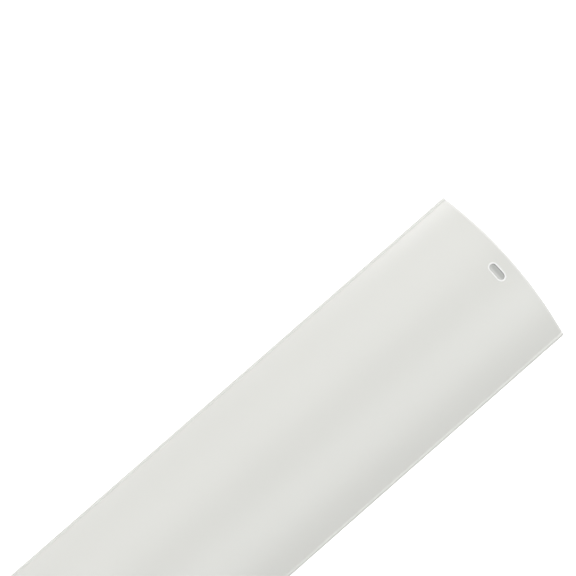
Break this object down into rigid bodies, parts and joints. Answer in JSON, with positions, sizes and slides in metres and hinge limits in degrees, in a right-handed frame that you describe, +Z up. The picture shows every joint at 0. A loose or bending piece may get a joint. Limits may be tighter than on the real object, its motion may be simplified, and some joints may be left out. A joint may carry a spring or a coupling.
{
  "type": "vertical blind vane",
  "caption": "Smooth white PVC vane for a vertical blind, crowned across its width, with a punched slot near its top end to hang it by.",
  "frame": {"origin": "middle of the hanging slot, half-way through the sheet", "axes": "+Z up along the hanging vane, +X across its width, and the crowned face towards -Y"},
  "size_m": [0.089, 0.0095, 2.0955],
  "materials": {
    "satin_pvc": "smooth extruded PVC, satin white"
  },
  "bodies": {
    "root": {"vane": "satin_pvc"}
  },
  "joints": []
}
